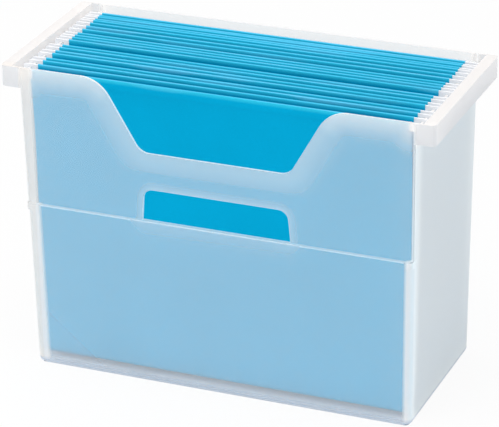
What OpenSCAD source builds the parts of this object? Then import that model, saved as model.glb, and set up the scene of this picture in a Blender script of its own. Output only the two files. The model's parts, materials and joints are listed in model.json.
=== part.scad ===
// Open-top file box with hanging folders.
//
// The box is one moulding with thin walls that lean outwards from the floor
// to the rim. The upper half of its front wall stands back from the lower
// half on a narrow step. A wide cut-out in the rim shows the folders, and a
// hand slot is cut through the wall just above the step. Each end has a deep
// flange to carry the box by. A channel in the flange leaves the top edge of
// the end wall standing free as a rail, and the hooks of the folder bars sit
// over that rail.
//
// Each hanging folder is one folded card with a hem along both top edges,
// and one flat steel bar in each hem.
//
// Origin: middle of the object's footprint, on the surface it stands on.
// +X to the right, +Y to the back, +Z up. Millimetres.

/* [Hanging folders] */
// Width of a folder's card
folder_w = 298.5; // [200:0.5:420]
// Height of a folder from its bottom fold to its hems
folder_h = 235; // [200:0.5:320]
// Thickness of the card
card_t = 0.5; // [0.3:0.05:1]
// Play of a bar in its hem, from top to bottom
hem_play = 0.5; // [0.1:0.1:3]
// How far each end of a hem stops short of the card's side edge
hem_setback = 1.5; // [0.5:0.1:4]
// Number of folders
folder_count = 10; // [2:1:10]

/* [Folder bars] */
// Height of the flat bar
bar_h = 6.5; // [5:0.1:7]
// Thickness of the bar
bar_t = 1; // [0.6:0.1:1.2]
// Steel left above the rail where the hook passes over it
hook_roof = 2.4; // [1.5:0.1:3]
// Width of the hook's downturned tip
tip_w = 3.6; // [2:0.1:5]
// How far the tip reaches below the top of the rail
tip_drop = 3.6; // [1.5:0.1:4.2]
// Clearance between the hook and each side of the rail
hook_clear = 0.9; // [0.3:0.1:2]

/* [Box walls] */
// Thickness of the walls
wall = 1.8; // [1.2:0.1:2.6]
// Thickness of the floor
floor_t = 2; // [1.2:0.1:4]
// Depth of the inside at the floor, from front to back
inner_d = 131.4; // [110:0.2:180]
// Outward lean of each end wall from the ground to the rim
side_lean = 3.2; // [1:0.1:12]
// Outward lean of the front wall from the ground to the rim
front_lean = 2.7; // [1:0.1:12]
// Outward lean of the back wall from the ground to the rim
back_lean = 6.8; // [1:0.1:14]
// Radius of the upright corners
corner_r = 6; // [4:0.5:12]
// Rounding of the edge around the floor
floor_edge = 2.5; // [1:0.1:3.5]
// Height of the rim bead that the box stands on
foot_h = 1.2; // [0.6:0.1:3]
// Width of the rim bead that the box stands on
foot_w = 4; // [2:0.1:8]

/* [Clearances in the box] */
// Clearance between a card's side edge and the end wall, at the ground
card_side_clear = 1; // [0.5:0.1:6]
// Clearance between the bottom fold and the floor
floor_clear = 2.7; // [1:0.1:12]
// Clearance between the inside of the front wall and the nearest hem
front_clear = 5.6; // [1:0.1:12]
// Clearance between the last card and the round of the box's back corners
back_clear = 0.2; // [0.1:0.1:8]

/* [Step in the front wall] */
// Height of the step above the ground
step_z = 135; // [100:1:150]
// How far the upper front wall stands back from the lower one
step_d = 2.1; // [1.5:0.1:6]
// Rise of the step from its edge to the upper wall
step_rise = 0.3; // [0.1:0.1:1]
// Height of the lip with sharper corners just under the step
lip_h = 6; // [3:0.5:12]
// Height over which the lip's corners round off into the wall below
lip_blend = 1; // [0.5:0.1:2]
// Corner radius of the lip and of the upper front wall
lip_r = 2.4; // [2:0.1:4]

/* [Cut-out in the front rim] */
// Width of the cut-out's floor, between its sharp corners
cut_w = 117.4; // [80:0.2:150]
// Depth of the cut-out below the rim
cut_d = 54.4; // [45:0.2:60]
// Slope of the cut-out's sides, from level
cut_angle = 60; // [50:1:75]
// Radius at the foot of each side
cut_foot_r = 12; // [5:0.5:18]
// Radius of each shoulder at the rim
cut_shoulder_r = 26; // [10:0.5:30]

/* [Hand slot] */
// Width of the slot at the step
slot_w = 118; // [90:0.5:130]
// Height of the slot
slot_h = 25.5; // [22:0.5:30]
// How far each end of the slot leans in over its height
slot_taper = 2; // [0.5:0.1:6]
// Radius of the slot's upper corners
slot_r = 8; // [3:0.5:12]

/* [Flanges] */
// How far the flange stands out from the end wall, at the rim
flange_reach = 14.8; // [13:0.1:30]
// Height of the flange's skirt
flange_h = 16.2; // [14:0.1:30]
// Radius of the flange's upright corners
flange_r = 3.5; // [2:0.1:8]
// Height of the rim above the top of the rail
rim_rise = 6; // [4.5:0.1:10]
// Clearance between a hook's tip and the floor of its channel
tip_floor_clear = 0.9; // [0.3:0.1:2]
// Clearance between a hook's tip and the far side of its channel
tip_side_clear = 1.4; // [0.5:0.1:6]
// Thickness of the rib under the middle of each flange
rib_t = 1.5; // [1:0.1:3]

/* [Hidden] */
// Distance between the two bars of each folder, from the front of the box to the back.
folder_open = [10, 5.6, 5.6, 5.2, 5.6, 5, 7, 5.6, 5, 5];
// Share of the rail's free length that lies in front of each folder.
gap_share = [0, 0.14, 0.32, 0.43, 0.64, 0.7, 0.84, 0.95, 0.98, 1];

cut = 1;                       // how far a cutting shape runs past what it cuts
arc_steps = 10;                // straight pieces in a rounded corner

floor_z = foot_h + floor_t;
fold_z = floor_z + floor_clear;
folder_top_z = fold_z + folder_h;
bar_top_z = folder_top_z - card_t;
rail_z = bar_top_z - hook_roof;
rim_z = rail_z + rim_rise;
channel_z = rail_z - tip_drop - tip_floor_clear;

base_half_w = folder_w / 2 + card_side_clear + wall;
base_d = inner_d + 2 * wall;
base_front = -base_d / 2 - (back_lean - front_lean * step_z / rim_z) / 2;
base_back = base_front + base_d;

// The walls' outer faces at a height above the ground.
function half_w(z) = base_half_w + side_lean * z / rim_z;
function front_y(z) = base_front - front_lean * z / rim_z;
function back_y(z) = base_back + back_lean * z / rim_z;
function upper_front_y(z) = front_y(z) + step_d;

rail_out = half_w(rail_z);     // outer face of the rail
rail_in = rail_out - wall;
tip_in = rail_out + hook_clear;
tip_out = tip_in + tip_w;
riser_in = tip_out + tip_side_clear;
flange_x = half_w(rim_z) + flange_reach;
flange_front = upper_front_y(rim_z);
flange_back = back_y(rim_z);
skirt_z = rim_z - flange_h;
rib_y = (flange_front + flange_back) / 2;

hem_t = bar_t + 2 * card_t;
hem_h = bar_h + 2 * card_t + hem_play;

// How far behind the round of a back corner the card's edge keeps half its side clearance.
corner_in = corner_r - wall;
corner_keep = corner_in - sqrt(corner_in ^ 2 - (corner_in - card_side_clear / 2) ^ 2);

// The stretch of rail that the hems share.
hems_front = upper_front_y(folder_top_z) + wall + front_clear;
hems_back = back_y(fold_z) - wall - corner_keep - back_clear + (hem_t - card_t) / 2;

// Rail length taken up by the first n folders.
function taken(n) = n == 0 ? 0 : taken(n - 1) + folder_open[n - 1] + hem_t;
free_rail = hems_back - hems_front - taken(folder_count);
function folder_y(i) = hems_front + free_rail * gap_share[i] + (taken(i) + taken(i + 1)) / 2;

folders = [for (i = [0:folder_count - 1]) i];

// Points along a round corner, from angle a to angle b.
function arc(cx, cy, r, a, b) =
    [for (i = [0:arc_steps]) let (t = a + (b - a) * i / arc_steps) [cx + r * cos(t), cy + r * sin(t)]];

// A plan outline with its front corners of one radius and its back ones of another.
function plan(hw, front, back, front_r, back_r) = concat(
    arc(hw - front_r, front + front_r, front_r, -90, 0),
    arc(hw - back_r, back - back_r, back_r, 0, 90),
    arc(back_r - hw, back - back_r, back_r, 90, 180),
    arc(front_r - hw, front + front_r, front_r, 180, 270));

// The leaning walls' outline at height z, drawn in from the outer faces. Front corners have
// their own radius, and setback moves the front wall back.
function wall_ring(z, inset, setback, front_r) =
    [for (p = plan(half_w(z) - inset, front_y(z) + inset + setback, back_y(z) - inset,
                   front_r, corner_r - inset)) [p.x, p.y, z]];

// A closed solid through a stack of outlines that all have as many points.
module loft(rings) {
    n = len(rings[0]);
    last = (len(rings) - 1) * n;
    sides = [for (k = [0:len(rings) - 2], i = [0:n - 1])
        let (a = k * n, j = (i + 1) % n) [a + i, a + n + i, a + n + j, a + j]];
    polyhedron(
        points = [for (ring = rings, p = ring) p],
        faces = concat([[for (i = [0:n - 1]) i]], sides, [[for (i = [n - 1:-1:0]) last + i]]));
}

module outer_walls() {
    loft([
        wall_ring(foot_h, floor_edge, 0, corner_r - floor_edge),
        wall_ring(foot_h + 0.3 * floor_edge, 0.3 * floor_edge, 0, corner_r - 0.3 * floor_edge),
        wall_ring(foot_h + floor_edge, 0, 0, corner_r),
        wall_ring(step_z - lip_h, 0, 0, corner_r),
        wall_ring(step_z - lip_h + lip_blend, 0, 0, lip_r),
        wall_ring(step_z, 0, 0, lip_r),
        wall_ring(step_z + step_rise, 0, step_d, lip_r),
        wall_ring(rim_z, 0, step_d, lip_r)
    ]);
    standing_bead();
}

module inner_space() {
    ledge_z = step_z - wall;
    loft([
        wall_ring(floor_z, wall, 0, corner_r - wall),
        wall_ring(ledge_z, wall, 0, corner_r - wall),
        wall_ring(ledge_z + step_rise, wall, step_d, corner_r - wall),
        wall_ring(rim_z + cut, wall, step_d, corner_r - wall)
    ]);
}

// The bead around the underside that the box stands on.
module standing_bead() {
    inset = floor_edge + foot_w;
    linear_extrude(foot_h + floor_t / 2)
        difference() {
            polygon(plan(base_half_w - floor_edge, base_front + floor_edge, base_back - floor_edge,
                         corner_r - floor_edge, corner_r - floor_edge));
            polygon(plan(base_half_w - inset, base_front + inset, base_back - inset,
                         corner_r - floor_edge, corner_r - floor_edge));
        }
}

// The right half of the cut-out's edge, from its floor up past the rim.
function cut_edge() =
    let (foot_run = cut_foot_r * tan(cut_angle / 2),
         shoulder_run = cut_shoulder_r * tan(cut_angle / 2),
         top_x = cut_w / 2 + cut_d / tan(cut_angle))
    concat(
        arc(cut_w / 2 - foot_run, rim_z - cut_d + cut_foot_r, cut_foot_r, -90, cut_angle - 90),
        arc(top_x + shoulder_run, rim_z - cut_shoulder_r, cut_shoulder_r, 90 + cut_angle, 90),
        [[top_x + shoulder_run, rim_z + cut]]);

// The right half of the hand slot's edge, from the step up to its top.
function slot_edge() =
    let (lean = atan(slot_taper / slot_h),
         corner_x = slot_w / 2 - ((slot_h - slot_r) * sin(lean) + slot_r) / cos(lean))
    concat([[slot_w / 2, step_z + step_rise]],
           arc(corner_x, step_z + slot_h - slot_r, slot_r, lean, 90));

function mirrored(points) = [for (i = [len(points) - 1:-1:0]) [-points[i].x, points[i].y]];

// Cuts an edge that is the same on both sides through the front wall.
module through_front(edge) {
    translate([0, base_front / 2, 0])
        rotate([90, 0, 0])
            linear_extrude(-base_front)
                polygon(concat(edge, mirrored(edge)));
}

// The flange on the right, with the hook channel in it.
module flange() {
    root_x = rail_out - wall / 2;
    // the skirt, and the flange's two closed ends
    translate([0, 0, skirt_z])
        linear_extrude(flange_h)
            intersection() {
                difference() {
                    polygon(plan(flange_x, flange_front, flange_back, flange_r, flange_r));
                    polygon(plan(flange_x - wall, flange_front + wall, flange_back - wall,
                                 flange_r - wall, flange_r - wall));
                }
                translate([root_x, flange_front])
                    square([flange_x, flange_back - flange_front]);
            }
    // the top of the flange outside the channel
    translate([0, 0, rim_z - wall])
        linear_extrude(wall)
            intersection() {
                polygon(plan(flange_x, flange_front, flange_back, flange_r, flange_r));
                translate([riser_in, flange_front])
                    square([flange_x, flange_back - flange_front]);
            }
    // the channel's far side and its floor
    translate([riser_in, flange_front + wall / 2, channel_z - wall])
        cube([wall, flange_back - flange_front - wall, rim_z - channel_z + wall]);
    translate([root_x, flange_front + wall / 2, channel_z - wall])
        cube([riser_in - root_x + wall, flange_back - flange_front - wall, wall]);
    // the rib under the middle of the flange
    translate([root_x, rib_y - rib_t / 2, skirt_z + wall])
        cube([flange_x - wall / 2 - root_x, rib_t, channel_z - wall / 2 - skirt_z - wall]);
    translate([riser_in + wall / 2, rib_y - rib_t / 2, skirt_z + wall])
        cube([flange_x - riser_in - wall, rib_t, flange_h - 1.5 * wall]);
}

// Clears the end wall above the rail, so that the hooks can sit over it.
module rail_clearance() {
    front = upper_front_y(rail_z) + wall;
    translate([rail_in - wall, front, rail_z])
        cube([riser_in - rail_in + wall, back_y(rail_z) - wall - front, rim_rise + cut]);
}

module box_body() {
    color("aliceblue", 0.6)
        difference() {
            union() {
                difference() {
                    outer_walls();
                    inner_space();
                }
                flange();
                mirror([1, 0, 0]) flange();
            }
            rail_clearance();
            mirror([1, 0, 0]) rail_clearance();
            through_front(cut_edge());
            through_front(slot_edge());
        }
}

// The card's side view: two panels, a round bottom fold and a hem around each bar.
module card_profile(open) {
    fold_r = (open + card_t) / 2;
    difference() {
        translate([0, fold_z + fold_r]) circle(r = fold_r, $fn = 48);
        translate([0, fold_z + fold_r]) circle(r = fold_r - card_t, $fn = 48);
        translate([-open, fold_z + fold_r]) square([2 * open, open]);
    }
    for (side = [-1, 1])
        translate([side * open / 2, 0])
            translate([-card_t / 2, fold_z + fold_r]) square([card_t, folder_h - fold_r - hem_h + card_t]);
}

// The hem around one bar, seen from the side.
module hem_profile() {
    difference() {
        translate([-hem_t / 2, folder_top_z - hem_h]) square([hem_t, hem_h]);
        translate([-bar_t / 2, folder_top_z - hem_h + card_t]) square([bar_t, hem_h - 2 * card_t]);
    }
}

// Extrudes a side view across the middle of the box.
module across(width) {
    rotate([90, 0, 90])
        translate([0, 0, -width / 2])
            linear_extrude(width)
                children();
}

module folder_card(i) {
    open = folder_open[i];
    color("deepskyblue")
        translate([0, folder_y(i), 0]) {
            across(folder_w) card_profile(open);
            across(folder_w - 2 * hem_setback)
                for (side = [-1, 1])
                    translate([side * open / 2, 0]) hem_profile();
        }
}

// Half of a bar's outline, from its middle out to the tip of its hook.
function bar_outline() = [
    [0, bar_top_z - bar_h],
    [rail_in - hook_clear, bar_top_z - bar_h],
    [rail_in - hook_clear, rail_z],
    [tip_in, rail_z],
    [tip_in, rail_z - tip_drop],
    [tip_out - tip_w / 3, rail_z - tip_drop],
    [tip_out, rail_z - tip_drop + tip_w / 2],
    [tip_out, bar_top_z - tip_w / 3],
    [tip_out - tip_w / 3, bar_top_z],
    [0, bar_top_z]
];

// side is -1 for a folder's front bar and 1 for its back bar.
module folder_bar(i, side) {
    half = bar_outline();
    color("gainsboro")
        translate([0, folder_y(i) + side * folder_open[i] / 2 + bar_t / 2, 0])
            rotate([90, 0, 0])
                linear_extrude(bar_t)
                    polygon(concat(half, mirrored(half)));
}

box_body();
for (i = folders) {
    folder_card(i);
    folder_bar(i, -1);
    folder_bar(i, 1);
}
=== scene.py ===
"""Hanging file box: the moulded frosted box, its folder cards and their flat steel bars.

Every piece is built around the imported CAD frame, in metres, with +X to the right,
+Y to the back and +Z up. Each object sits at the origin, with its place in its mesh.
"""

import json
import math

import bmesh
import bpy
from bpy.props import FloatProperty, FloatVectorProperty, IntProperty, PointerProperty
from mathutils import Matrix, Vector
from mathutils.bvhtree import BVHTree

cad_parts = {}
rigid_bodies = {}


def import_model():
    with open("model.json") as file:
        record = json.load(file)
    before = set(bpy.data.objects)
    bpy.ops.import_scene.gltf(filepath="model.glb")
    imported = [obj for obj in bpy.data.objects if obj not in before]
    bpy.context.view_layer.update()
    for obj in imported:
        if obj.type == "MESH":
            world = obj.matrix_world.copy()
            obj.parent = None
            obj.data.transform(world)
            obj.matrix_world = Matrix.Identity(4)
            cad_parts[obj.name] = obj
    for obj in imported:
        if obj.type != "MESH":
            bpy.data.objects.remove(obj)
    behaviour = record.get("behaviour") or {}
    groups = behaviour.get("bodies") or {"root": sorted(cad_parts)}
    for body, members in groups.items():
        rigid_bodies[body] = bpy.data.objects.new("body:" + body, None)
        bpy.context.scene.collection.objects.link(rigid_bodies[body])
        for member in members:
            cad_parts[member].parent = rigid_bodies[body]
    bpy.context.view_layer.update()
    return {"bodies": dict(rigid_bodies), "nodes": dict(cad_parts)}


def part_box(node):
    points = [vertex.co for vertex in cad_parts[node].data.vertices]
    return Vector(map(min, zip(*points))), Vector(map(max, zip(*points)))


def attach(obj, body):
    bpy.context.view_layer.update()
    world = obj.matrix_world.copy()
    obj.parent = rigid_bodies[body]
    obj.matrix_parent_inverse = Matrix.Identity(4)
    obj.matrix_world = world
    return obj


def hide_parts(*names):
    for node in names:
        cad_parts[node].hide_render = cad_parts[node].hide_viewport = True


bl_info = {
    "name": "Hanging File Box",
    "version": (1, 0, 0),
    "blender": (4, 5, 0),
    "location": "3D View > Sidebar > File Box",
    "description": "Builds a frosted file box with hanging folders around its CAD frame",
    "category": "Object",
}

MM = 0.001
WELD = 1e-6
WHITE = (1.0, 1.0, 1.0, 1.0)

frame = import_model()
FOLDERS = [name for name in frame["bodies"] if name.startswith("folder_")]
BOX_LOW, BOX_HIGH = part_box("box_body")

# places on the moulded box, where a pair gives both ends of a stretch
LEDGE_Z = 135.0 * MM
SLOT_TOP_Z = 160.8 * MM
SLOT_HALF = 60.0 * MM
FLOOR_TOP_Z = 3.4 * MM
FRONT_WALL_Y = (-66.0 * MM, -60.0 * MM)
LEFT_STRIP_X = (-146.6 * MM, -145.6 * MM)
CORNER_X = (145.3 * MM, 148.0 * MM)
LEFT_CORNER_MORE = 5.0 * MM
END_WALL_LEAN = 0.0131
FLANGE_X = (154.0 * MM, 156.5 * MM)
FLANGE_Z = (222.0 * MM, 226.0 * MM)
FLANGE_FRONT_Y = (-68.0 * MM, -62.0 * MM)
RAIL_X = (148.0 * MM, 156.0 * MM)
RIM_DEPTH = 7.0 * MM
RIM_END_X = BOX_HIGH.x - 12.0 * MM
CUTS_END_X = BOX_HIGH.x - 30.0 * MM
CUTS_BACK_Y = BOX_LOW.y + 5.0 * MM

# light that the plastic takes in at a free edge: the share of it, and how far it reaches
SLOT_GLOW = (0.3, 8.0 * MM)
BELOW_SLOT_GLOW = (0.2, 18.0 * MM)
CUT_OUT_GLOW = (0.4, 28.0 * MM)
RIM_ADDS = (0.3, -4.0 * MM)

# how closely a face's normal lies along an axis, and the angles that make a sharp edge
LOOKS_ALONG = 0.9
TURNING = (0.5, 0.9)
BOX_CREASE = math.radians(50.0)
SHEET_CREASE = math.radians(40.0)

# the folded card and its bars
HEM_HALF = 1.0 * MM
HEM_BULGE = 0.71 * MM
HEM_STEP = 1.5 * MM
HEM_TURNS, PANEL_ROWS, FOLD_BENDS = 6, 22, 12
COAT_INTO_HEM = 4.0 * MM


# ---------------------------------------------------------------- sizes and colours

class MouldedBoxSettings(bpy.types.PropertyGroup):
    """Edges and plastic of the moulded box"""
    edge_round: FloatProperty(
        name="Edge Rounding", description="Radius of the moulded box's outer edges",
        default=0.3 * MM, min=0.0, max=0.6 * MM, unit="LENGTH", subtype="DISTANCE", precision=5)
    edge_segments: IntProperty(
        name="Edge Segments", description="Faces across each rounded edge", default=2, min=1, max=4)
    colour: FloatVectorProperty(
        name="Plastic Colour", description="Colour of the frosted plastic",
        default=(0.98, 0.94, 0.915), min=0.0, max=1.0, size=3, subtype="COLOR")
    # painted light: the end walls get a bluer, brighter copy of the plastic's colour, for the folders'
    # blue light scattered through them
    end_lit_colour: FloatVectorProperty(
        name="End Wall Colour", description="Colour of the end walls, tinged by the folders behind",
        default=(0.93, 0.985, 1.0), min=0.0, max=1.0, size=3, subtype="COLOR")
    # painted light: a warmer copy of the plastic's colour on the left strip takes away the folders'
    # blue light that reaches it
    strip_painted_light_colour: FloatVectorProperty(
        name="Strip Colour", description="Colour of the front wall beside the folders' left ends",
        default=(0.95, 0.89, 0.84), min=0.0, max=1.0, size=3, subtype="COLOR")
    # painted shade: the flanges' upright outer sides get a greyer copy of the plastic's colour, so
    # that they look less brightly lit
    flange_shade_colour: FloatVectorProperty(
        name="Flange Colour", description="Colour of the end flanges, where the plastic lies double",
        default=(0.83, 0.83, 0.84), min=0.0, max=1.0, size=3, subtype="COLOR")
    floor_colour: FloatVectorProperty(
        name="Floor Colour", description="Colour of the box's floor, in the shade of the folders",
        default=(0.61, 0.67, 0.77), min=0.0, max=1.0, size=3, subtype="COLOR")
    haze: FloatProperty(
        name="Haze", description="How densely one face of the plastic is frosted, seen head on",
        default=0.152, min=0.0, max=2.0)
    scatter_on: FloatProperty(
        name="Light Scattered On", description="Share of the scattered light that goes on through",
        default=0.35, min=0.0, max=1.0, subtype="FACTOR")
    light_passed: FloatProperty(
        name="Light Passed", description="Share of a lamp's light that one face lets through",
        default=0.98, min=0.0, max=1.0, subtype="FACTOR")
    gloss_roughness: FloatProperty(
        name="Gloss Roughness", description="How soft the shine on the plastic is",
        default=0.32, min=0.0, max=1.0, subtype="FACTOR")
    edge_light: FloatProperty(
        name="Edge Light", description="How much whiter the plastic is beside its free edges",
        default=0.45, min=0.0, max=1.0, subtype="FACTOR")
    cell: FloatProperty(
        name="Wall Cell", description="Spacing of the points across the front wall",
        default=4.0 * MM, min=1.0 * MM, max=20.0 * MM, unit="LENGTH", precision=5)


class FolderCardSettings(bpy.types.PropertyGroup):
    """Shape and finish of the folder cards"""
    thickness: FloatProperty(
        name="Card Thickness", description="Thickness of the folded card",
        default=0.48 * MM, min=0.2 * MM, max=0.5 * MM, unit="LENGTH", precision=5)
    hem_height: FloatProperty(
        name="Hem Height", description="Height of the loop that holds a bar",
        default=8.0 * MM, min=7.0 * MM, max=12.0 * MM, unit="LENGTH", precision=5)
    flap_end: FloatProperty(
        name="Flap End", description="How far below the top the hem's glued flap ends",
        default=13.0 * MM, min=9.0 * MM, max=30.0 * MM, unit="LENGTH", precision=5)
    hang: FloatProperty(
        name="Hang", description="How far the panels sink inwards, as a share of half the gap",
        default=0.6, min=0.0, max=0.6, subtype="FACTOR")
    bow: FloatProperty(
        name="Bow", description="How far a panel bends out of flat",
        default=0.6 * MM, min=0.0, max=0.7 * MM, unit="LENGTH", precision=5)
    columns: IntProperty(
        name="Columns", description="Points across the width of a card", default=33, min=5, max=80)
    colour: FloatVectorProperty(
        name="Card Colour", description="Colour of the folder card",
        default=(0.0, 0.355, 0.62), min=0.0, max=1.0, size=3, subtype="COLOR")
    # painted light: a lighter, greener copy of the card's colour for the hems' upper band, where the
    # overhead light falls
    hem_lit_colour: FloatVectorProperty(
        name="Hem Colour", description="Colour of the card where it is glued into a hem",
        default=(0.02, 0.46, 0.68), min=0.0, max=1.0, size=3, subtype="COLOR")
    # painted highlight: a pale sheen colour along the top of each hem, where it is creased over a bar
    crease_highlight_colour: FloatVectorProperty(
        name="Crease Colour", description="Colour of the card where it is creased over a bar",
        default=(0.12, 0.54, 0.79), min=0.0, max=1.0, size=3, subtype="COLOR")


class FlatBarSettings(bpy.types.PropertyGroup):
    """Shape and finish of the folder bars"""
    corner_round: FloatProperty(
        name="Corner Rounding", description="Radius of the corners of a bar's outline",
        default=0.7 * MM, min=0.0, max=1.5 * MM, unit="LENGTH", precision=5)
    edge_round: FloatProperty(
        name="Edge Rounding", description="Radius of the edges along a bar's faces",
        default=0.15 * MM, min=0.0, max=0.4 * MM, unit="LENGTH", precision=5)
    steel_colour: FloatVectorProperty(
        name="Steel Colour", description="Colour of the bare steel",
        default=(0.62, 0.63, 0.64), min=0.0, max=1.0, size=3, subtype="COLOR")
    coat_colour: FloatVectorProperty(
        name="Coat Colour", description="Colour of the coated hooks",
        default=(0.88, 0.88, 0.90), min=0.0, max=1.0, size=3, subtype="COLOR")


class StageSettings(bpy.types.PropertyGroup):
    """Camera, floor and lamps"""
    azimuth: FloatProperty(
        name="Azimuth", description="How far the camera stands to the right of the front",
        default=math.radians(22.803), subtype="ANGLE", unit="ROTATION")
    elevation: FloatProperty(
        name="Elevation", description="How high the camera looks down from",
        default=math.radians(24.672), subtype="ANGLE", unit="ROTATION")
    roll: FloatProperty(
        name="Roll", description="How far the camera leans to one side",
        default=math.radians(-1.109), subtype="ANGLE", unit="ROTATION")
    distance: FloatProperty(
        name="Distance", description="How far the camera stands from the point it looks at",
        default=2.17835, min=0.5, max=10.0, unit="LENGTH")
    lens: FloatProperty(
        name="Lens", description="Focal length of the camera", default=217.3, min=20.0, max=400.0)
    target: FloatVectorProperty(
        name="Target", description="The point that the camera looks at",
        default=(0.033424, -0.084465, 0.161275), size=3, unit="LENGTH", subtype="TRANSLATION")
    floor_size: FloatProperty(
        name="Floor Size", description="Side of the square floor",
        default=8.0, min=1.0, max=30.0, unit="LENGTH")
    ambient: FloatProperty(
        name="Ambient Light", description="Strength of the even light from all round",
        default=0.62, min=0.0, max=2.0)
    key_power: FloatProperty(
        name="Overhead Lamp", description="Power of the large soft lamp overhead, in watts",
        default=41.0, min=0.0, max=500.0)
    fill_power: FloatProperty(
        name="Front Lamp", description="Power of the soft lamp at the front, in watts",
        default=17.0, min=0.0, max=500.0)
    side_power: FloatProperty(
        name="Side Lamp", description="Power of the soft lamp at the right, in watts",
        default=15.0, min=0.0, max=500.0)


class FileBoxSettings(bpy.types.PropertyGroup):
    """All sizes and colours of the file box"""
    box: PointerProperty(type=MouldedBoxSettings)
    card: PointerProperty(type=FolderCardSettings)
    bar: PointerProperty(type=FlatBarSettings)
    stage: PointerProperty(type=StageSettings)


# ---------------------------------------------------------------- node trees

def add_node(tree, kind, values=None, **settings):
    """Adds a node with its own settings, and sets or links its inputs by name or number."""
    node = tree.nodes.new(kind)
    for name, value in settings.items():
        setattr(node, name, value)
    for key, value in (values or {}).items():
        if isinstance(value, bpy.types.NodeSocket):
            tree.links.new(value, node.inputs[key])
        else:
            node.inputs[key].default_value = value
    return node


def maths(tree, operation, first, second=0.0, clamp=False):
    """One step of arithmetic in a node tree."""
    return add_node(tree, "ShaderNodeMath", {0: first, 1: second},
                    operation=operation, use_clamp=clamp).outputs[0]


def left_over(tree, share):
    """What a share leaves of the whole."""
    return maths(tree, "SUBTRACT", 1.0, share)


def remap(tree, value, from_low, from_high, to_low, to_high):
    """Maps one range of values onto another, held at both ends."""
    return add_node(tree, "ShaderNodeMapRange",
                    {"Value": value, "From Min": from_low, "From Max": from_high,
                     "To Min": to_low, "To Max": to_high}).outputs["Result"]


def rising(tree, value, stretch):
    """0 before a stretch of values and 1 after it."""
    return remap(tree, value, *stretch, 0.0, 1.0)


def falling(tree, value, stretch):
    """1 before a stretch of values and 0 after it."""
    return remap(tree, value, *stretch, 1.0, 0.0)


def spread(tree, texture, low, high):
    """Spreads the usual range of a noise texture over a range of values."""
    return remap(tree, texture, 0.3, 0.7, low, high)


def object_coords(tree):
    """The object's own coordinates, which are the frame's."""
    return tree.nodes.new("ShaderNodeTexCoord").outputs["Object"]


def parts_of(tree, vector):
    """The x, y and z of a vector."""
    return add_node(tree, "ShaderNodeSeparateXYZ", {0: vector}).outputs


def scaled(tree, vector, scale):
    """Coordinates on which a pattern repeats more often along some of the axes."""
    return add_node(tree, "ShaderNodeMapping", {"Vector": vector, "Scale": scale}).outputs[0]


def noise(tree, scale, detail=3.0, roughness=0.5, vector=None):
    """A noise texture, on the object's own coordinates unless others are given."""
    if vector is None:
        vector = object_coords(tree)
    return add_node(tree, "ShaderNodeTexNoise",
                    {"Vector": vector, "Scale": scale, "Detail": detail,
                     "Roughness": roughness}).outputs["Fac"]


def bumps(tree, height, strength, distance):
    """A normal that follows the height of a pattern."""
    return add_node(tree, "ShaderNodeBump",
                    {"Height": height, "Strength": strength, "Distance": distance}).outputs[0]


def opaque(colour):
    """A colour with the fourth number that nodes want."""
    return (*colour, 1.0)


def mix_colours(tree, share, first, second):
    """Mixes a share of a second colour into a first one."""
    return add_node(tree, "ShaderNodeMix", {0: share, 6: first, 7: second},
                    data_type="RGBA").outputs[2]


def mix_shaders(tree, share, first, second):
    """Mixes a share of a second shader into a first one."""
    return add_node(tree, "ShaderNodeMixShader",
                    {"Fac": share, 1: first.outputs[0], 2: second.outputs[0]})


def new_material(name):
    """An empty node material and its tree."""
    material = bpy.data.materials.new(name)
    material.use_nodes = True
    material.node_tree.nodes.clear()
    return material, material.node_tree


def finish_material(material, surface):
    """Ends a material in the shader of its surface."""
    add_node(material.node_tree, "ShaderNodeOutputMaterial", {"Surface": surface.outputs[0]})
    return material


# ---------------------------------------------------------------- frosted plastic

def in_flange(tree, spot):
    """1 in the two end flanges and 0 in the box's walls."""
    return maths(tree, "MULTIPLY", rising(tree, maths(tree, "ABSOLUTE", spot[0]), FLANGE_X),
                 rising(tree, spot[2], FLANGE_Z))


def left_strip(tree, spot):
    """1 in the upright strip at the left of the front wall, beside the folders' ends."""
    return maths(tree, "MULTIPLY", falling(tree, spot[0], LEFT_STRIP_X),
                 falling(tree, spot[1], FRONT_WALL_Y))


def cloudy_places(tree, spot):
    """How cloudy the moulding is in its front corners, its left strip, flanges and floor."""
    # the corners lean with the end walls, and the left one is the wider of the two
    lean = maths(tree, "MULTIPLY", spot[2], END_WALL_LEAN)
    to_left = maths(tree, "SUBTRACT", LEFT_CORNER_MORE, spot[0])
    across = maths(tree, "SUBTRACT", maths(tree, "MAXIMUM", spot[0], to_left), lean)
    below_ledge = falling(tree, spot[2], (LEDGE_Z - 0.5 * MM, LEDGE_Z + 0.5 * MM))
    at_front = falling(tree, spot[1], FRONT_WALL_Y)
    corner = maths(tree, "MULTIPLY", remap(tree, across, *CORNER_X, 0.0, 0.75),
                   maths(tree, "MULTIPLY", below_ledge, at_front))
    strip = maths(tree, "MULTIPLY", left_strip(tree, spot), 0.6)
    flange = maths(tree, "MULTIPLY", in_flange(tree, spot),
                   remap(tree, spot[1], *FLANGE_FRONT_Y, 0.85, 0.5))
    floor = remap(tree, spot[2], FLOOR_TOP_Z, 5.0 * MM, 0.8, 0.0)
    return maths(tree, "MAXIMUM", maths(tree, "MAXIMUM", corner, strip),
                 maths(tree, "MAXIMUM", flange, floor))


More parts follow.
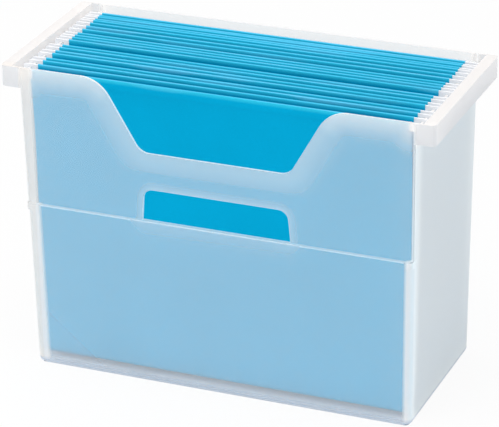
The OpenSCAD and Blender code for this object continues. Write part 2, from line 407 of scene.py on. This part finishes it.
def plastic_colour(tree, settings, spot):
    """The plastic's colour, with painted light and shade: lit on the end walls and left strip, shaded
    on the flanges' outer sides and the floor.
    """
    normal = parts_of(tree, tree.nodes.new("ShaderNodeNewGeometry").outputs["Normal"])
    flange = in_flange(tree, spot)
    end_wall = maths(tree, "MULTIPLY", rising(tree, maths(tree, "ABSOLUTE", normal[0]), TURNING),
                     left_over(tree, flange))
    # the flanges' faces towards the middle of the box keep the colour of the walls, without the
    # painted shade
    inwards = falling(tree, maths(tree, "MULTIPLY", normal[0], spot[0]), (-0.12, -0.06))
    upright = falling(tree, maths(tree, "ABSOLUTE", normal[2]), TURNING)
    shaded_flange_side = maths(tree, "MULTIPLY", flange,
                        maths(tree, "MULTIPLY", upright, left_over(tree, inwards)))
    in_floor = falling(tree, spot[2], (FLOOR_TOP_Z, 6.0 * MM))
    colour = opaque(settings.colour)
    # painted light and shade: lit copies of the colour on the end walls and left strip, shaded ones on
    # the flanges and on the floor under the folders
    for share, other in ((end_wall, settings.end_lit_colour),
                         (left_strip(tree, spot), settings.strip_painted_light_colour),
                         (shaded_flange_side, settings.flange_shade_colour),
                         (in_floor, settings.floor_colour)):
        colour = mix_colours(tree, share, colour, opaque(other))
    return colour


def light_through(tree, settings, spot, lighting):
    """Share of the light that passes straight through one face of the plastic."""
    # a slanting look passes through more plastic than a look head on
    facing = add_node(tree, "ShaderNodeLayerWeight", {"Blend": 0.5}).outputs["Facing"]
    cosine = maths(tree, "MAXIMUM", left_over(tree, facing), 0.08)
    depth = maths(tree, "DIVIDE", settings.haze, maths(tree, "POWER", cosine, 2.0))
    passed = maths(tree, "EXPONENT", maths(tree, "MULTIPLY", depth, -1.0))
    glow = add_node(tree, "ShaderNodeAttribute", attribute_name="edge_light").outputs["Fac"]
    edge = add_node(tree, "ShaderNodeAttribute", attribute_name="free_edge").outputs["Fac"]
    for cloud in (glow, cloudy_places(tree, spot), edge):
        passed = maths(tree, "MULTIPLY", passed, left_over(tree, cloud), clamp=True)
    # what is scattered forwards still lights the folders, so the plastic throws little shadow
    return remap(tree, lighting, 0.0, 1.0, passed, settings.light_passed)


def frosted_plastic(settings):
    """Translucent plastic: part of the light passes, and the rest is scattered both ways."""
    material, tree = new_material("frosted plastic")
    spot = parts_of(tree, object_coords(tree))
    path = tree.nodes.new("ShaderNodeLightPath").outputs
    lighting = maths(tree, "ADD", path["Is Shadow Ray"], path["Is Diffuse Ray"], clamp=True)
    normal = bumps(tree, noise(tree, 260.0, 2.0), 0.04, 0.05 * MM)
    moulded = {"Color": plastic_colour(tree, settings, spot), "Normal": normal}
    scatter = mix_shaders(tree, settings.scatter_on,
                          add_node(tree, "ShaderNodeBsdfDiffuse", moulded),
                          add_node(tree, "ShaderNodeBsdfTranslucent", moulded))
    clear = add_node(tree, "ShaderNodeBsdfTransparent", {"Color": WHITE})
    body = mix_shaders(tree, light_through(tree, settings, spot, lighting), scatter, clear)
    softness = maths(tree, "ADD", spread(tree, noise(tree, 1500.0, 4.0, 0.6), -0.04, 0.04),
                     settings.gloss_roughness)
    shine = add_node(tree, "ShaderNodeBsdfGlossy",
                     {"Color": WHITE, "Roughness": softness, "Normal": normal})
    sheen = maths(tree, "MULTIPLY", add_node(tree, "ShaderNodeFresnel", {"IOR": 1.45}).outputs[0], 0.6)
    sheen = maths(tree, "MULTIPLY", sheen, left_over(tree, lighting))
    return finish_material(material, mix_shaders(tree, sheen, body, shine))


# ---------------------------------------------------------------- card, steel and floor

def folder_card(settings, top):
    """Coloured pressed card with a fine fibre, and painted light along the hem tops over the bars: a
    lighter band and a pale highlight.
    """
    material, tree = new_material("folder card")
    coords = object_coords(tree)
    fibre = noise(tree, 700.0, 5.0, 0.65, scaled(tree, coords, (1.0, 6.0, 3.0)))
    cloud = noise(tree, 14.0, 2.0, 0.5, coords)
    shade = maths(tree, "ADD", spread(tree, fibre, -0.05, 0.05), spread(tree, cloud, -0.03, 0.03))
    # the painted highlight along each hem's top has its own strength, which also varies slowly along
    # it
    hems = scaled(tree, coords, (6.0, 230.0, 0.0))
    highlight_strength = remap(tree, noise(tree, 1.0, 2.0, 0.5, hems), 0.35, 0.65, 0.35, 1.0)
    depth = remap(tree, noise(tree, 1.7, 1.0, 0.5, hems), 0.55, 0.66, 0.7 * MM, 4.0 * MM)
    below = maths(tree, "SUBTRACT", top, parts_of(tree, coords)[2])
    near_top = maths(tree, "SUBTRACT", 1.0, maths(tree, "DIVIDE", below, depth), clamp=True)
    # painted light: the top few millimetres of each hem get the lighter hem colour
    colour = mix_colours(tree, falling(tree, below, (1.5 * MM, 3.5 * MM)),
                         opaque(settings.colour), opaque(settings.hem_lit_colour))
    # painted highlight: the hem tops fade towards the pale crease colour
    colour = mix_colours(tree, maths(tree, "MULTIPLY", near_top, highlight_strength),
                         colour, opaque(settings.crease_highlight_colour))
    tinted = add_node(tree, "ShaderNodeHueSaturation",
                      {"Color": colour, "Value": maths(tree, "ADD", 1.0, shade)})
    surface = add_node(tree, "ShaderNodeBsdfPrincipled",
                       {"Base Color": tinted.outputs[0], "Roughness": 0.6,
                        "Specular IOR Level": 0.02, "Normal": bumps(tree, fibre, 0.25, 0.04 * MM)})
    return finish_material(material, surface)


def bar_steel(settings, coat_from):
    """Rolled steel along the hem, with a pale coat over the hooks at both ends."""
    material, tree = new_material("bar steel")
    coords = object_coords(tree)
    rolled = noise(tree, 60.0, 4.0, 0.6, scaled(tree, coords, (1.0, 40.0, 40.0)))
    steel = add_node(tree, "ShaderNodeBsdfPrincipled",
                     {"Base Color": opaque(settings.steel_colour), "Metallic": 1.0,
                      "Roughness": spread(tree, rolled, 0.28, 0.42)})
    coat = add_node(tree, "ShaderNodeBsdfPrincipled",
                    {"Base Color": opaque(settings.coat_colour), "Roughness": 0.55})
    ragged = spread(tree, noise(tree, 500.0, vector=coords), -0.3 * MM, 0.3 * MM)
    across = maths(tree, "ADD", maths(tree, "ABSOLUTE", parts_of(tree, coords)[0]), ragged)
    coated = rising(tree, across, (coat_from - 0.2 * MM, coat_from + 0.2 * MM))
    return finish_material(material, mix_shaders(tree, coated, steel, coat))


def background_rays(tree):
    """1 for the rays that show the background itself, straight or in a reflection."""
    path = tree.nodes.new("ShaderNodeLightPath").outputs
    seen = maths(tree, "ADD", path["Is Camera Ray"], path["Is Glossy Ray"], clamp=True)
    return maths(tree, "ADD", seen, path["Is Transmission Ray"], clamp=True)


def floor_white():
    """Plain white floor that reads as white and still holds a faint shadow."""
    material, tree = new_material("white floor")
    grain = remap(tree, noise(tree, 40.0), 0.0, 1.0, 0.79, 0.81)
    grey = add_node(tree, "ShaderNodeCombineColor", {0: grain, 1: grain, 2: grain})
    painted = add_node(tree, "ShaderNodeBsdfDiffuse", {"Color": grey.outputs[0]})
    white = add_node(tree, "ShaderNodeEmission", {"Color": WHITE, "Strength": 1.0})
    share = maths(tree, "MULTIPLY", background_rays(tree), 0.92)
    return finish_material(material, mix_shaders(tree, share, painted, white))


# ---------------------------------------------------------------- meshes

def merged_copy(node):
    """A CAD node's mesh with its loose triangles joined up."""
    mesh = bmesh.new()
    mesh.from_mesh(frame["nodes"][node].data)
    bmesh.ops.remove_doubles(mesh, verts=mesh.verts, dist=WELD)
    return mesh


def show(mesh, name):
    """Puts a mesh in the scene as an object at the origin."""
    piece = bpy.data.objects.new(name, mesh)
    bpy.context.scene.collection.objects.link(piece)
    return piece


def made_plain(piece):
    """Applies a piece's modifiers, so that only a plain mesh is left."""
    evaluated = piece.evaluated_get(bpy.context.evaluated_depsgraph_get())
    finished = bpy.data.meshes.new_from_object(evaluated)
    finished.name = piece.name
    piece.modifiers.clear()
    piece.data = finished


def hand_over(piece, body, slot, *nodes):
    """Ties a finished piece to its body and hides the CAD nodes it stands for; the slot is not used.
    """
    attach(piece, body)
    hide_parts(*nodes)


def number_of(folder):
    """The number in a folder's name."""
    return int(folder.split("_")[1])


def new_tree(name, inputs):
    """A Geometry Nodes tree with a geometry input and output, and the named inputs."""
    tree = bpy.data.node_groups.new(name, "GeometryNodeTree")
    tree.interface.new_socket("Geometry", in_out="INPUT", socket_type="NodeSocketGeometry")
    for label, kind in inputs.items():
        tree.interface.new_socket(label, in_out="INPUT", socket_type=kind)
    tree.interface.new_socket("Geometry", in_out="OUTPUT", socket_type="NodeSocketGeometry")
    return tree, tree.nodes.new("NodeGroupInput").outputs


def finish_tree(tree, geometry, material):
    """Ends a tree in Realize Instances and Set Material."""
    real = add_node(tree, "GeometryNodeRealizeInstances", {0: geometry})
    painted = add_node(tree, "GeometryNodeSetMaterial",
                       {"Geometry": real.outputs[0], "Material": material})
    add_node(tree, "NodeGroupOutput", {0: painted.outputs[0]})
    return tree


def add_tree(piece, tree, inputs):
    """Gives a piece a Geometry Nodes tree, and sets its inputs by their sockets' identifiers."""
    modifier = piece.modifiers.new(tree.name, "NODES")
    modifier.node_group = tree
    identifiers = {item.name: item.identifier for item in tree.interface.items_tree
                   if item.item_type == "SOCKET" and item.in_out == "INPUT"}
    for name, value in inputs.items():
        modifier[identifiers[name]] = value


# ---------------------------------------------------------------- moulded box

def marks_free_edge(face):
    """True for the thin faces that close the wall's free edges: rim, rails, cut-out and slot."""
    centre = face.calc_center_median()
    beside = abs(centre.x)
    near_top = centre.z > BOX_HIGH.z - RIM_DEPTH
    on_rim = near_top and face.normal.z > LOOKS_ALONG and beside < RIM_END_X
    at_rail_end = (near_top and centre.y > 0.0 and face.normal.y < 0.5
                   and RAIL_X[0] < beside < RAIL_X[1])
    across_front = (centre.y < CUTS_BACK_Y and beside < CUTS_END_X
                    and centre.z > LEDGE_Z + 4.0 * MM and abs(face.normal.y) < 0.3)
    return on_rim or at_rail_end or across_front


def front_wall_faces(mesh):
    """The flat faces of the front wall, outside and inside."""
    return [f for f in mesh.faces
            if abs(f.normal.y) > LOOKS_ALONG and f.calc_center_median().y < 0.9 * BOX_LOW.y]


def cut_into_cells(mesh, spacing):
    """Cuts the flat front wall into cells, so that what it carries can vary across it."""
    for normal, low, high in ((Vector((1.0, 0.0, 0.0)), BOX_LOW.x, BOX_HIGH.x),
                              (Vector((0.0, 0.0, 1.0)), BOX_LOW.z, BOX_HIGH.z)):
        for step in range(1, int((high - low) / spacing)):
            faces = front_wall_faces(mesh)
            edges = {e for f in faces for e in f.edges}
            verts = {v for f in faces for v in f.verts}
            bmesh.ops.bisect_plane(mesh, geom=[*verts, *edges, *faces], dist=0.02 * MM,
                                   plane_co=normal * (low + step * spacing), plane_no=normal)


def search_tree(faces):
    """A tree that finds the nearest place on some faces."""
    corners = [v.co for f in faces for v in f.verts]
    rings, first = [], 0
    for face in faces:
        rings.append(range(first, first + len(face.verts)))
        first += len(face.verts)
    return BVHTree.FromPolygons(corners, rings)


def glow_at(spot):
    """The share and the reach of the light beside a place on the front wall's free edges."""
    if spot.z < SLOT_TOP_Z + 1.0 * MM:
        return SLOT_GLOW
    # from the cut-out's straight sides up to the rim, over the last 8 mm of its shoulders
    rise = min(max((spot.z - (BOX_HIGH.z - 16.0 * MM)) / (8.0 * MM), 0.0), 1.0)
    return tuple(below + more * rise for below, more in zip(CUT_OUT_GLOW, RIM_ADDS))


def light_front_wall(mesh, strength):
    """Stores the light that the front wall takes in at its free edges, fading away from them."""
    free_edge = mesh.faces.layers.float["free_edge"]
    edges = search_tree([
        f for f in mesh.faces if f[free_edge] > 0.5
        or (f.normal.z > LOOKS_ALONG and f.calc_center_median().z > BOX_HIGH.z - 1.0 * MM)])
    edge_light = mesh.loops.layers.float.new("edge_light")
    for face in front_wall_faces(mesh):
        for loop in face.loops:
            corner = loop.vert.co
            spot, _, _, away = edges.find_nearest(corner)
            share, reach = glow_at(spot)
            if corner.z < LEDGE_Z:
                # below the ledge, only the part under the hand slot takes in light
                share, reach = BELOW_SLOT_GLOW
                away = LEDGE_Z - corner.z + max(0.0, abs(corner.x) - SLOT_HALF)
            near = max(0.0, 1.0 - away / reach)
            loop[edge_light] = strength * share * near * near * (3.0 - 2.0 * near)


def moulded_box_mesh():
    """The CAD box as a clean mesh, with its free edges marked and its long edges weighted."""
    mesh = merged_copy("box_body")
    bmesh.ops.dissolve_limit(mesh, angle_limit=math.radians(0.3), verts=mesh.verts, edges=mesh.edges)
    free_edge = mesh.faces.layers.float.new("free_edge")
    weight = mesh.edges.layers.float.new("bevel_weight_edge")
    for face in mesh.faces:
        face.smooth = True
        face[free_edge] = 1.0 if marks_free_edge(face) else 0.0
    for edge in mesh.edges:
        if edge.is_manifold and edge.calc_length() > 1.2 * MM and edge.calc_face_angle() > BOX_CREASE:
            edge[weight] = 1.0
    made = bpy.data.meshes.new("moulded_box")
    mesh.to_mesh(made)
    mesh.free()
    return made


class FILEBOX_OT_moulded_box(bpy.types.Operator):
    """Build the frosted box with its flanges, step, cut-out and hand slot"""
    bl_idname = "file_box.moulded_box"
    bl_label = "Moulded Box"
    bl_options = {"REGISTER", "UNDO"}

    def execute(self, context):
        settings = context.scene.file_box.box
        piece = show(moulded_box_mesh(), "moulded_box")
        piece.data.materials.append(frosted_plastic(settings))
        rounding = piece.modifiers.new("rounded edges", "BEVEL")
        rounding.limit_method = "WEIGHT"
        rounding.width = settings.edge_round
        rounding.segments = settings.edge_segments
        rounding.use_clamp_overlap = True
        made_plain(piece)
        mesh = bmesh.new()
        mesh.from_mesh(piece.data)
        cut_into_cells(mesh, settings.cell)
        light_front_wall(mesh, settings.edge_light)
        mesh.to_mesh(piece.data)
        mesh.free()
        piece.data.set_sharp_from_angle(angle=BOX_CREASE)
        flat_walls = piece.modifiers.new("flat walls", "WEIGHTED_NORMAL")
        flat_walls.keep_sharp = True
        flat_walls.weight = 100
        made_plain(piece)
        hand_over(piece, "box", "frosted_plastic", "box_body")
        return {"FINISHED"}


# ---------------------------------------------------------------- flat bars

def flat_bar_tree(material):
    """Cuts a bar from sheet along its outline, which is drawn in the XY plane."""
    tree, given = new_tree("flat bar", {"Thickness": "NodeSocketFloat",
                                        "Corner Rounding": "NodeSocketFloat",
                                        "Front Face": "NodeSocketFloat"})
    curve = add_node(tree, "GeometryNodeMeshToCurve", {0: given["Geometry"]})
    rounded = add_node(tree, "GeometryNodeFilletCurve",
                       {"Curve": curve.outputs[0], "Radius": given["Corner Rounding"],
                        "Count": 4, "Limit Radius": True}, mode="POLY")
    plate = add_node(tree, "GeometryNodeFillCurve", {0: rounded.outputs[0]}, mode="NGONS")
    up = add_node(tree, "ShaderNodeCombineXYZ", {"Z": given["Thickness"]})
    raised = add_node(tree, "GeometryNodeExtrudeMesh",
                      {"Mesh": plate.outputs[0], "Offset": up.outputs[0], "Offset Scale": 1.0,
                       "Individual": False}, mode="FACES")
    back = add_node(tree, "GeometryNodeFlipFaces", {0: plate.outputs[0]})
    closed = add_node(tree, "GeometryNodeJoinGeometry")
    tree.links.new(raised.outputs[0], closed.inputs[0])
    tree.links.new(back.outputs[0], closed.inputs[0])
    welded = add_node(tree, "GeometryNodeMergeByDistance",
                      {"Geometry": closed.outputs[0], "Distance": WELD})
    place = add_node(tree, "ShaderNodeCombineXYZ", {"Y": given["Front Face"]})
    stood = add_node(tree, "GeometryNodeTransform",
                     {"Geometry": welded.outputs[0], "Translation": place.outputs[0],
                      "Rotation": (math.radians(90.0), 0.0, 0.0)})
    return finish_tree(tree, stood.outputs[0], material)


def bar_outline(node):
    """The outline of a CAD bar's front face, as a loop of edges in the XY plane."""
    low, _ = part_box(node)
    mesh = merged_copy(node)
    front = {f for f in mesh.faces if all(abs(v.co.y - low.y) < 0.01 * MM for v in f.verts)}
    links = {}
    for edge in mesh.edges:
        if len(front.intersection(edge.link_faces)) == 1:
            for vert in edge.verts:
                links.setdefault(vert, []).append(edge.other_vert(vert))
    start = next(iter(links))
    order = [start, links[start][0]]
    while order[-1] != start:
        order.append(next(v for v in links[order[-1]] if v != order[-2]))
    order.pop()
    corners = []
    for i, vert in enumerate(order):
        before, after = order[i - 1].co, order[(i + 1) % len(order)].co
        if (vert.co - before).angle(after - vert.co) > math.radians(1.0):
            corners.append((vert.co.x, vert.co.z, 0.0))
    mesh.free()
    made = bpy.data.meshes.new("bar outline")
    made.from_pydata(corners, [(i, (i + 1) % len(corners)) for i in range(len(corners))], [])
    return made


class FILEBOX_OT_flat_bars(bpy.types.Operator):
    """Build the two flat steel bars of every folder"""
    bl_idname = "file_box.flat_bars"
    bl_label = "Flat Bars"
    bl_options = {"REGISTER", "UNDO"}

    def execute(self, context):
        settings = context.scene.file_box.bar
        hem_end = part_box("folder_1_card")[1].x
        tree = flat_bar_tree(bar_steel(settings, hem_end - COAT_INTO_HEM))
        for folder in FOLDERS:
            for side in ("front", "back"):
                node = f"{folder}_{side}_bar"
                low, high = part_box(node)
                piece = show(bar_outline(node), f"flat_{side}_bar_{number_of(folder)}")
                add_tree(piece, tree, {"Thickness": high.y - low.y, "Front Face": high.y,
                                       "Corner Rounding": settings.corner_round})
                softened = piece.modifiers.new("softened edges", "BEVEL")
                softened.width = settings.edge_round
                softened.segments = 2
                softened.angle_limit = SHEET_CREASE
                softened.harden_normals = True
                made_plain(piece)
                hand_over(piece, folder, "bar_steel", node)
        return {"FINISHED"}


# ---------------------------------------------------------------- folder cards

def card_profile(settings, low, high):
    """A card's side view as (y, z, half width, sway) points, from one hem to the other."""
    centre = (low.y + high.y) / 2
    panel = (high.y - low.y) / 2 - HEM_HALF
    half_sheet = settings.thickness / 2
    bend_z = high.z - half_sheet - HEM_BULGE
    hem_low = high.z - settings.hem_height
    fold_z = low.z + half_sheet + panel

    # the flap inside, up to the bend over the bar, round it, and down the outside of the hem
    flap_y = 2.0 * half_sheet + 0.02 * MM
    hem = [(flap_y, high.z - settings.flap_end), (flap_y, hem_low - 1.2 * MM),
           (HEM_BULGE, hem_low + 0.6 * MM), (HEM_BULGE, bend_z - 2.0 * MM)]
    for step in range(HEM_TURNS + 1):
        angle = math.pi * step / HEM_TURNS
        hem.append((HEM_BULGE * math.cos(angle), bend_z + HEM_BULGE * math.sin(angle)))
    hem += [(-HEM_BULGE, bend_z - 2.0 * MM), (-HEM_BULGE, hem_low + 0.8 * MM),
            (-HEM_BULGE * 0.55, hem_low - 0.2 * MM)]
    side = [(y, z, high.x - HEM_STEP, 0.0) for y, z in hem]
    side += [(-HEM_BULGE * 0.5, hem_low - 0.3 * MM, high.x, 0.0),
             (0.0, hem_low - 1.6 * MM, high.x, 0.0)]

    # the panel sinks towards the other one, and the two meet in the fold
    reach = hem_low - 1.6 * MM - fold_z
    for step in range(1, PANEL_ROWS + 1):
        drop = step / PANEL_ROWS
        inwards = settings.hang * panel * (1.0 - (2.0 * drop - 1.0) ** 4)
        side.append((inwards, fold_z + reach * (1.0 - drop), high.x, math.sin(math.pi * drop)))
    fold = []
    for step in range(1, FOLD_BENDS):
        angle = math.pi * step / FOLD_BENDS
        fold.append((centre - panel * math.cos(angle), fold_z - panel * math.sin(angle), high.x, 0.0))
    front = [(centre - panel + y, z, w, s) for y, z, w, s in side]
    rear = [(centre + panel - y, z, w, s) for y, z, w, s in reversed(side)]
    return front + fold + rear


def folded_card_tree(material):
    """Sweeps a card's side view across the box, row by row, and bows its panels slightly."""
    tree, given = new_tree("folded card", {"Rows": "NodeSocketInt", "Columns": "NodeSocketInt",
                                           "Bow": "NodeSocketFloat", "Seed": "NodeSocketFloat"})
    rows, columns = given["Rows"], given["Columns"]
    sheet = add_node(tree, "GeometryNodeMeshGrid",
                     {"Size X": 1.0, "Size Y": 1.0, "Vertices X": columns, "Vertices Y": rows})
    index = tree.nodes.new("GeometryNodeInputIndex").outputs[0]
    row = maths(tree, "MODULO", index, rows)
    column = maths(tree, "FLOOR", maths(tree, "DIVIDE", index, rows))
    across = maths(tree, "SUBTRACT",
                   maths(tree, "DIVIDE", column, maths(tree, "SUBTRACT", columns, 1.0)), 0.5)

    def of_profile(value, data_type):
        """A value of the side view's point in this row."""
        return add_node(tree, "GeometryNodeSampleIndex",
                        {"Geometry": given["Geometry"], "Value": value, "Index": row},
                        data_type=data_type, domain="POINT").outputs[0]

    def stored(name):
        """A number that the side view's point in this row carries."""
        return of_profile(add_node(tree, "GeometryNodeInputNamedAttribute", {"Name": name},
                                   data_type="FLOAT").outputs[0], "FLOAT")

    outline = parts_of(tree, of_profile(tree.nodes.new("GeometryNodeInputPosition").outputs[0],
                                        "FLOAT_VECTOR"))
    x = maths(tree, "MULTIPLY", maths(tree, "MULTIPLY", across, 2.0), stored("half_width"))
    spot = add_node(tree, "ShaderNodeCombineXYZ", {"X": x, "Y": outline[1], "Z": outline[2]})
    wave = add_node(tree, "ShaderNodeTexNoise",
                    {"Vector": spot.outputs[0], "W": given["Seed"], "Scale": 7.0,
                     "Detail": 1.0}, noise_dimensions="4D").outputs[0]
    swing = maths(tree, "MULTIPLY", spread(tree, wave, -1.0, 1.0), given["Bow"])
    offset = add_node(tree, "ShaderNodeCombineXYZ",
                      {"Y": maths(tree, "MULTIPLY", swing, stored("sway"))})
    bent = add_node(tree, "GeometryNodeSetPosition",
                    {"Geometry": sheet.outputs["Mesh"], "Position": spot.outputs[0],
                     "Offset": offset.outputs[0]})
    smooth = add_node(tree, "GeometryNodeSetShadeSmooth", {"Geometry": bent.outputs[0]})
    return finish_tree(tree, smooth.outputs[0], material)


def profile_mesh(points):
    """A side view as a line of vertices that carry their half width and sway."""
    made = bpy.data.meshes.new("card profile")
    made.from_pydata([(0.0, y, z) for y, z, _, _ in points],
                     [(i, i + 1) for i in range(len(points) - 1)], [])
    for name, place in (("half_width", 2), ("sway", 3)):
        values = made.attributes.new(name, "FLOAT", "POINT")
        values.data.foreach_set("value", [p[place] for p in points])
    return made


class FILEBOX_OT_folder_cards(bpy.types.Operator):
    """Build the folded card of every hanging folder"""
    bl_idname = "file_box.folder_cards"
    bl_label = "Folder Cards"
    bl_options = {"REGISTER", "UNDO"}

    def execute(self, context):
        settings = context.scene.file_box.card
        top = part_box("folder_1_card")[1].z
        tree = folded_card_tree(folder_card(settings, top))
        for folder in FOLDERS:
            node = f"{folder}_card"
            points = card_profile(settings, *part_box(node))
            piece = show(profile_mesh(points), f"hanging_card_{number_of(folder)}")
            add_tree(piece, tree, {"Rows": len(points), "Columns": settings.columns,
                                   "Bow": settings.bow, "Seed": float(number_of(folder))})
            solid = piece.modifiers.new("card thickness", "SOLIDIFY")
            solid.thickness = settings.thickness
            solid.offset = 0.0
            solid.use_even_offset = False
            made_plain(piece)
            piece.data.set_sharp_from_angle(angle=SHEET_CREASE)
            hand_over(piece, folder, "folder_card", node)
        return {"FINISHED"}


# ---------------------------------------------------------------- stage

def photo_camera(settings):
    """The camera at the photograph's viewing angle."""
    azimuth, elevation, roll = settings.azimuth, settings.elevation, settings.roll
    back = Vector((math.sin(azimuth) * math.cos(elevation), -math.cos(azimuth) * math.cos(elevation),
                   math.sin(elevation)))
    right = Vector((math.cos(azimuth), math.sin(azimuth), 0.0))
    up = back.cross(right)
    rolled_right = right * math.cos(roll) + up * math.sin(roll)
    rolled_up = up * math.cos(roll) - right * math.sin(roll)
    camera = bpy.data.objects.new("camera", bpy.data.cameras.new("camera"))
    camera.data.lens = settings.lens
    camera.data.sensor_width = 36.0
    camera.data.clip_end = 100.0
    turn = Matrix((rolled_right, rolled_up, back)).transposed().to_4x4()
    camera.matrix_world = Matrix.Translation(Vector(settings.target) + back * settings.distance) @ turn
    return camera


def soft_lamp(name, power, size, place):
    """A large square lamp that points at the middle of the box."""
    lamp = bpy.data.lights.new(name, "AREA")
    lamp.shape = "SQUARE"
    lamp.size = size
    lamp.energy = power
    stand = bpy.data.objects.new(name, lamp)
    middle = Vector((0.0, 0.0, 0.12))
    stand.location = place
    stand.rotation_euler = (middle - Vector(place)).to_track_quat("-Z", "Y").to_euler()
    return stand


def white_world(ambient):
    """A world that looks white, and lights the object evenly from all round."""
    world = bpy.data.worlds.new("white surroundings")
    world.use_nodes = True
    tree = world.node_tree
    tree.nodes.clear()
    strength = remap(tree, background_rays(tree), 0.0, 1.0, ambient, 1.0)
    light = add_node(tree, "ShaderNodeBackground", {"Color": WHITE, "Strength": strength})
    add_node(tree, "ShaderNodeOutputWorld", {"Surface": light.outputs[0]})
    return world


def floor_mesh(size):
    """A flat square under the box."""
    half = size / 2
    made = bpy.data.meshes.new("floor")
    made.from_pydata([(-half, -half, 0.0), (half, -half, 0.0), (half, half, 0.0), (-half, half, 0.0)],
                     [], [(0, 1, 2, 3)])
    return made


class FILEBOX_OT_stage(bpy.types.Operator):
    """Set up the camera, the white floor and the soft lamps"""
    bl_idname = "file_box.stage"
    bl_label = "Stage"
    bl_options = {"REGISTER", "UNDO"}

    def execute(self, context):
        settings = context.scene.file_box.stage
        scene = context.scene
        camera = photo_camera(settings)
        floor = show(floor_mesh(settings.floor_size), "floor")
        floor.data.materials.append(floor_white())
        lamps = [soft_lamp("overhead lamp", settings.key_power, 2.4, (-0.3, -0.4, 2.4)),
                 soft_lamp("front lamp", settings.fill_power, 2.0, (-1.6, -2.2, 1.3)),
                 soft_lamp("side lamp", settings.side_power, 1.6, (2.6, -0.6, 1.0))]
        for thing in (camera, *lamps):
            scene.collection.objects.link(thing)
        scene.camera = camera
        scene.world = white_world(settings.ambient)
        scene.view_settings.view_transform = "Standard"
        return {"FINISHED"}


# ---------------------------------------------------------------- panel and run

OPERATORS = (FILEBOX_OT_stage, FILEBOX_OT_moulded_box, FILEBOX_OT_flat_bars, FILEBOX_OT_folder_cards)


class FILEBOX_PT_pieces(bpy.types.Panel):
    """Lists the pieces of the file box"""
    bl_idname = "FILEBOX_PT_pieces"
    bl_label = "File Box"
    bl_space_type = "VIEW_3D"
    bl_region_type = "UI"
    bl_category = "File Box"

    def draw(self, context):
        for operator in OPERATORS:
            self.layout.operator(operator.bl_idname)


CLASSES = (MouldedBoxSettings, FolderCardSettings, FlatBarSettings, StageSettings, FileBoxSettings,
           *OPERATORS, FILEBOX_PT_pieces)


def register():
    """Registers the classes and gives the scene its settings."""
    for cls in CLASSES:
        bpy.utils.register_class(cls)
    bpy.types.Scene.file_box = PointerProperty(type=FileBoxSettings)


def unregister():
    """Takes the settings and the classes away again."""
    del bpy.types.Scene.file_box
    for cls in reversed(CLASSES):
        bpy.utils.unregister_class(cls)


def main():
    """Builds the stage and every piece."""
    register()
    bpy.ops.file_box.stage()
    bpy.ops.file_box.moulded_box()
    bpy.ops.file_box.flat_bars()
    bpy.ops.file_box.folder_cards()


if __name__ == "__main__":
    main()
